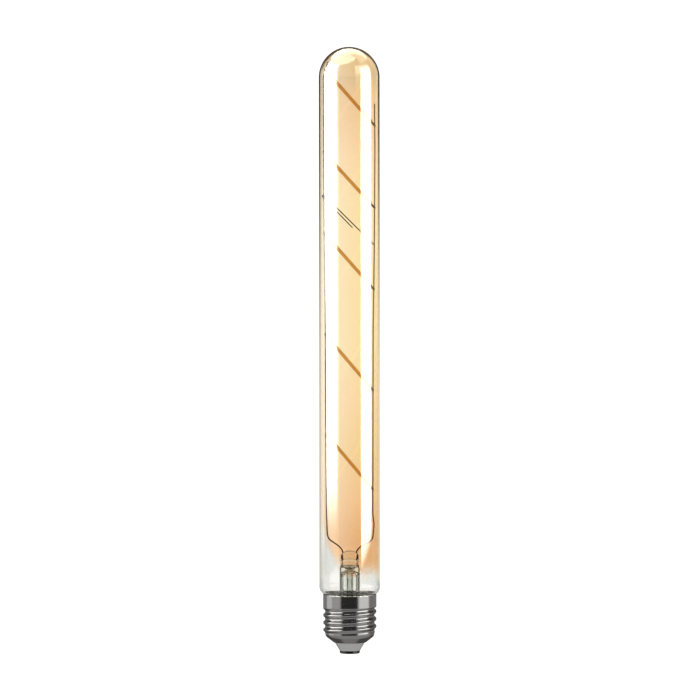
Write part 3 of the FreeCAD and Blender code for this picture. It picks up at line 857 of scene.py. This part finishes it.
# %% Give every piece its finish
glass = amber_coated_glass()
stem_glass = clear_stem_glass()
coating = phosphor_silicone()
finishes = {
    "exhaust_tube": stem_glass,
    "brace_bead": moulded("dark_bead_glass", "#2C261F", 0.3, 0.3),
    "left_rail": oxidised_wire("nickel_iron_rail_wire", 72.0, 105.0, "#2B2119", "#A08A6C"),
    "rail_brace": oxidised_wire("oxidised_brace_wire", 209.0, 221.0, "#4A3E2E", "#1E1811"),
    "left_seal_wire": plated_metal("copper_sheathed_seal_wire", "#B87A5A", 0.1, 1.0),
    "left_outer_lead": plated_metal("tinned_copper_lead", "#8C8A84", 0.08, 1.0),
    "filament_left_tab_1": plated_metal("nickel_plated_tab", "#6E6350", 0.06, 1.0),
    "basing_cement": moulded("basing_cement", "#EDE6D6", 0.9, 0.4),
    "cap_insulator": moulded("moulded_grey_insulator", "#939391", 0.5, 0.3, glaze=0.4),
    "centre_contact": plated_metal("dull_plated_contact", "#5A5855", 0.16, 1.4),
    "smoothing_capacitor": moulded("capacitor_sleeve_film", "#2A2C33", 0.35, 0.5),
    "fusible_resistor": moulded("resistor_enamel", "#6F7F6A", 0.4, 0.3),
    "bridge_rectifier": moulded("moulded_epoxy_package", "#26262A", 0.55, 0.2),
    "driver_board": moulded("glass_fibre_board", "#3F6B45", 0.5, 0.4),
}
same_finish = {
    "right_rail": "left_rail",
    "right_seal_wire": "left_seal_wire",
    "right_outer_lead": "left_outer_lead",
    "live_wire": "left_outer_lead",
    "neutral_wire": "left_outer_lead",
    "regulator_chip": "bridge_rectifier",
}
for number in range(1, strip_count + 1):
    for side in ("left", "right"):
        same_finish["filament_%s_tab_%d" % (side, number)] = "filament_left_tab_1"


def dress(piece, material):
    """One material on a whole piece."""
    piece.data.materials.clear()
    piece.data.materials.append(material)


dress(envelope, glass)
dress(stem, stem_glass)
dress(shell, plated_metal("nickel_plated_rolled_shell", "#C4C2BF", 0.12, 2.0))
for strip in strips:
    dress(strip, coating)
remade = {"glass_envelope", "stem_flare", "cap_shell"}
remade.update("filament_strip_%d" % number for number in range(1, strip_count + 1))
for name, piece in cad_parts.items():
    if name not in remade:
        dress(piece, finishes[same_finish.get(name, name)])
        make_active(piece)
        bpy.ops.object.shade_smooth()
for piece in [envelope, stem, shell] + strips:
    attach(piece, "root")
print("finished pieces:", len(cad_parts))

# %% [markdown]
# ## Studio
#
# The lamp stands on a plain white sweep. What shapes it is what its glass and metal mirror: two
# tall softboxes at its sides, a soft light overhead and darker surroundings in between. The world
# shader holds them, by compass angle and height angle. The smooth glass mirrors one table of
# lights. The rough metal gathers light from a wider cone, so it has a dimmer table of its own. Seen
# directly or through the glass, the room is white, and matt surfaces get an even light from it.

# %% Room light and soft edges
backdrop_strength = 1.16
ambient_strength = 1.15


def window(tree, value, low, low_soft, high, high_soft):
    """One between two angles and zero beyond them, with soft edges."""
    rise = add(
        tree, "ShaderNodeMapRange",
        {"Value": value, "From Min": low - low_soft, "From Max": low + low_soft},
        interpolation_type="SMOOTHSTEP",
    )
    fall = add(
        tree, "ShaderNodeMapRange",
        {
            "Value": value, "From Min": high - high_soft, "From Max": high + high_soft,
            "To Min": 1.0, "To Max": 0.0,
        },
        interpolation_type="SMOOTHSTEP",
    )
    return add(
        tree, "ShaderNodeMath", {0: rise.outputs[0], 1: fall.outputs[0]}, operation="MULTIPLY"
    ).outputs[0]


print("room strength %.2f, for matt surfaces %.2f" % (backdrop_strength, ambient_strength))

# %% [markdown]
# Compass angles are 0 at the camera and + to its right; height angles are above the horizon.
# Each light: compass from, to, softness; height from, softness, to, softness; slant of its lower
# edge, in degrees for each degree to the right; strength; colour. A light with a slant has its
# lower edge given for compass angle 0. The compass runs from -180 to 180 behind the lamp, so a
# light that meets that line ends beyond it, at 200, where its soft edge can't be seen.

# %% Tables of lights
glass_lights = [
    (-100, -49, 1.5, -3.2, 1.0, 41, 3, 0.0, 13.0, "#FFFDFA"),
    (-111, -100, 1.5, 2.0, 3.0, 41, 3, 0.0, 13.0, "#FFFDFA"),
    (-49, -41, 2.0, -2.6, 1.5, 41, 3, 0.0, 1.6, "#FFFDF6"),
    (45, 91, 1.5, -5.35, 0.25, 30, 14, 0.0137, 13.0, "#FFFDFA"),
    (24, 46, 3.0, 7.5, 2.5, 38, 5, 0.0, 3.6, "#FFFAF0"),
    (-50, 57, 4.0, 51.9, 2.0, 91, 1, 0.285, 5.4, "#FFF9EA"),
    (-200, -50, 4.0, 43.5, 1.5, 91, 1, 0.0, 5.4, "#FFF9EA"),
    (57, 120, 4.0, 45, 5.0, 91, 1, 0.0, 2.0, "#FFF6E4"),
    (120, 200, 12.0, 45, 4.0, 91, 1, 0.0, 4.6, "#FFF9EC"),
    (-150, -113, 2.0, -5.42, 0.06, 16, 8, 0.0, 0.80, "#F6F6EC"),
    (-142, -113, 2.0, -4.4, 0.6, 3.0, 3.0, 0.0, 0.55, "#EEF6F2"),
    (-200, -113, 3.0, 11, 4, 45, 3, 0.0, 0.11, "#FFEFD8"),
    (150, 200, 3.0, 11, 4, 45, 3, 0.0, 0.16, "#FFEFD8"),
    (95, 122, 2.0, -5.42, 0.06, 50, 8, 0.0, 0.55, "#FFF3E2"),
    (122, 146, 3.0, -5.42, 0.06, 50, 8, 0.0, 0.90, "#FFF4DC"),
    (122, 146, 3.0, 0.5, 3.0, 50, 8, 0.0, 0.50, "#FFF4DC"),
    (-47, 42, 3.0, -5.42, 0.06, 50, 8, 0.0, 0.03, "#FFF6EA"),
    (-200, 200, 1.0, -91, 1, -5.42, 0.06, 0.0, 0.55, "#FFFFFF"),
    (146, 200, 2.0, -5.42, 0.06, 2.2, 3.8, 0.0, 0.95, "#F8F0DC"),
    (-200, -150, 2.0, -5.42, 0.06, 2.2, 3.8, 0.0, 0.70, "#F4F0E2"),
]
metal_lights = [
    (-106, -38, 9.0, 0.5, 1.5, 26, 5, 0.0, 2.4, "#FFFFFF"),
    (34, 92, 9.0, 0.5, 1.5, 26, 5, 0.0, 2.4, "#FFFFFF"),
    (-118, -40, 6.0, -12, 1.0, 0.5, 1.5, 0.0, 0.46, "#FFFFFF"),
    (-116, -84, 6.0, -12, 1.0, 0.5, 1.5, 0.0, 0.28, "#FFFFFF"),
    (38, 92, 8.0, -12, 1.0, 0.5, 1.5, 0.0, 0.92, "#FFFFFF"),
    (-34, 28, 8.0, -12, 1.0, 26, 5, 0.0, 0.03, "#FFFFFF"),
    (-200, -118, 6.0, -12, 1.0, 0.5, 1.5, 0.0, 0.28, "#FFFFFF"),
    (96, 200, 6.0, -12, 1.0, 0.5, 1.5, 0.0, 0.27, "#FFFFFF"),
    (-200, -112, 6.0, 0.5, 1.5, 26, 5, 0.0, 0.14, "#FFFFFF"),
    (96, 200, 6.0, 0.5, 1.5, 26, 5, 0.0, 0.14, "#FFFFFF"),
    (-200, 200, 1.0, 26, 5, 91, 1, 0.0, 0.05, "#FFFFFF"),
    (-118, 118, 8.0, -91, 1, -12, 1.0, 0.0, 0.32, "#FFFFFF"),
    (118, 200, 8.0, -91, 1, -61, 5, 0.0, 0.26, "#FFFFFF"),
    (-200, -118, 8.0, -91, 1, -61, 5, 0.0, 0.26, "#FFFFFF"),
    (118, 200, 8.0, -61, 5, -12, 1.0, 0.0, 0.09, "#FFFFFF"),
    (-200, -118, 8.0, -61, 5, -12, 1.0, 0.0, 0.09, "#FFFFFF"),
]
print("lights:", len(glass_lights), "and", len(metal_lights))

# %% [markdown]
# The world shader adds up a table of lights for the direction in which a ray leaves. A ray from a
# perfectly smooth surface is called singular, which tells glass from rough metal. The counts of its
# mirrorings and crossings then choose what it meets: a count above one half means at least once.
# A mirrored light that comes through many walls of glass is dimmed, except from the pale ground.
# What the world shows depends on the kind of ray, so the renderer doesn't sample it as a lamp.

# %% World shader
at_least_once = 0.5
many_walls = 3.5
deep_share = 0.2
deep_ground = 1.9
ground_height_low = -14.0
ground_height_high = -6.0

world = bpy.data.worlds.new("studio")
bpy.context.scene.world = world
world.use_nodes = True
world.cycles.sampling_method = "NONE"
sky = world.node_tree
sky.nodes.clear()
heading = add(sky, "ShaderNodeTexCoord").outputs["Generated"]
parts = add(sky, "ShaderNodeSeparateXYZ", {"Vector": heading})
towards = add(sky, "ShaderNodeMath", {0: parts.outputs["Y"], 1: -1.0}, operation="MULTIPLY")
turn = add(
    sky, "ShaderNodeMath", {0: parts.outputs["X"], 1: towards.outputs[0]}, operation="ARCTAN2"
).outputs[0]
compass = add(sky, "ShaderNodeMath", {0: turn}, operation="DEGREES").outputs[0]
tilt = add(sky, "ShaderNodeMath", {0: parts.outputs["Z"]}, operation="ARCSINE").outputs[0]
rise_angle = add(sky, "ShaderNodeMath", {0: tilt}, operation="DEGREES").outputs[0]


def gather(lights):
    """The sum of a table of lights, for the direction that is looked at."""
    total = (0.0, 0.0, 0.0)
    for light in lights:
        az_from, az_to, az_soft, el_from, from_soft, el_to, to_soft, slant, strength, code = light
        across = window(sky, compass, az_from, az_soft, az_to, az_soft)
        level = add(
            sky, "ShaderNodeMath", {0: compass, 1: -slant, 2: rise_angle}, operation="MULTIPLY_ADD"
        ).outputs[0]
        up = window(sky, level, el_from, from_soft, el_to, to_soft)
        mask = add(sky, "ShaderNodeMath", {0: across, 1: up}, operation="MULTIPLY").outputs[0]
        glow = [c * strength for c in colour(code)[:3]]
        total = add(
            sky, "ShaderNodeVectorMath", {0: glow, 1: mask, 2: total}, operation="MULTIPLY_ADD"
        ).outputs[0]
    return total


ray = add(sky, "ShaderNodeLightPath")
surroundings = add(
    sky, "ShaderNodeMix",
    {"Factor": ray.outputs["Is Singular Ray"], 6: gather(metal_lights), 7: gather(glass_lights)},
    data_type="RGBA",
)
mirrored = add(
    sky, "ShaderNodeMath",
    {0: ray.outputs["Glossy Depth"], 1: at_least_once}, operation="GREATER_THAN",
).outputs[0]
scattered = add(
    sky, "ShaderNodeMath",
    {0: ray.outputs["Diffuse Depth"], 1: at_least_once}, operation="GREATER_THAN",
).outputs[0]
looked_at = add(
    sky, "ShaderNodeMath",
    {0: ray.outputs["Is Camera Ray"], 1: ray.outputs["Is Transmission Ray"]}, operation="MAXIMUM",
).outputs[0]
unmirrored = add(
    sky, "ShaderNodeMath", {0: looked_at, 1: mirrored}, operation="SUBTRACT", use_clamp=True
).outputs[0]
seen = add(
    sky, "ShaderNodeMath", {0: unmirrored, 1: scattered}, operation="SUBTRACT", use_clamp=True
).outputs[0]
deep = add(
    sky, "ShaderNodeMath",
    {0: ray.outputs["Transmission Depth"], 1: many_walls}, operation="GREATER_THAN",
).outputs[0]
deep_strength = add(
    sky, "ShaderNodeMapRange",
    {
        "Value": rise_angle, "From Min": ground_height_low, "From Max": ground_height_high,
        "To Min": deep_ground, "To Max": deep_share,
    },
).outputs[0]
room_strength = add(
    sky, "ShaderNodeMapRange", {"Value": deep, "To Min": 1.0, "To Max": deep_strength}
).outputs[0]
room = add(
    sky, "ShaderNodeBackground", {"Color": surroundings.outputs[2], "Strength": room_strength}
)
ambient = add(sky, "ShaderNodeBackground", {"Color": (1, 1, 1, 1), "Strength": ambient_strength})
white = add(sky, "ShaderNodeBackground", {"Color": (1, 1, 1, 1), "Strength": backdrop_strength})
lit = add(sky, "ShaderNodeMixShader", {0: scattered, 1: room.outputs[0], 2: ambient.outputs[0]})
whole = add(sky, "ShaderNodeMixShader", {0: seen, 1: lit.outputs[0], 2: white.outputs[0]})
add(sky, "ShaderNodeOutputWorld", {"Surface": whole.outputs[0]})
print("world shader nodes:", len(sky.nodes))

# %% [markdown]
# The floor is as white as the room, so no horizon shows. It lets mirrored rays through to the room,
# so that the tables of lights alone decide what the lamp mirrors, and it isn't sampled as a lamp.

# %% Floor
floor_size = 14.0
deselect()
bpy.ops.mesh.primitive_plane_add(size=floor_size, location=(0, 0, 0))
floor = bpy.context.object
floor.name = "floor"
floor_finish, floor_tree = new_finish("white_sweep")
floor_ray = add(floor_tree, "ShaderNodeLightPath").outputs["Glossy Depth"]
floor_mirrored = add(
    floor_tree, "ShaderNodeMath", {0: floor_ray, 1: at_least_once}, operation="GREATER_THAN"
)
floor_white = add(
    floor_tree, "ShaderNodeEmission", {"Color": (1, 1, 1, 1), "Strength": backdrop_strength}
)
floor_clear = add(floor_tree, "ShaderNodeBsdfTransparent")
floor_mix = add(
    floor_tree, "ShaderNodeMixShader",
    {0: floor_mirrored.outputs[0], 1: floor_white.outputs[0], 2: floor_clear.outputs[0]},
)
add(floor_tree, "ShaderNodeOutputMaterial", {"Surface": floor_mix.outputs[0]})
floor_finish.cycles.emission_sampling = "NONE"
dress(floor, floor_finish)
floor.visible_glossy = False
floor.visible_shadow = False
print("floor: %.0f m across" % floor_size)

# %% [markdown]
# The camera is level, at the middle of the lamp's height, and far enough away that the tube's two
# ends look alike, as in the photograph. Its frame is about 345 mm across at the lamp, and it is
# rolled by a trace, because the lamp leans by that much in the photograph.

# %% Camera
camera_distance = 1275.0
camera_height = 149.5
camera_across = 0.25
camera_roll = 0.067
frame_width = 345.4

camera_data = bpy.data.cameras.new("camera")
camera_data.sensor_width = 36.0
camera_data.lens = camera_data.sensor_width * camera_distance / frame_width
camera = bpy.data.objects.new("camera", camera_data)
camera.location = Vector((camera_across, -camera_distance, camera_height)) * MM
camera.rotation_euler = (math.pi / 2, math.radians(camera_roll), 0)
bpy.context.collection.objects.link(camera)
bpy.context.scene.camera = camera
bpy.context.scene.view_settings.view_transform = "Standard"
bpy.context.scene.view_settings.look = "None"
print("lens: %.1f mm" % camera_data.lens)
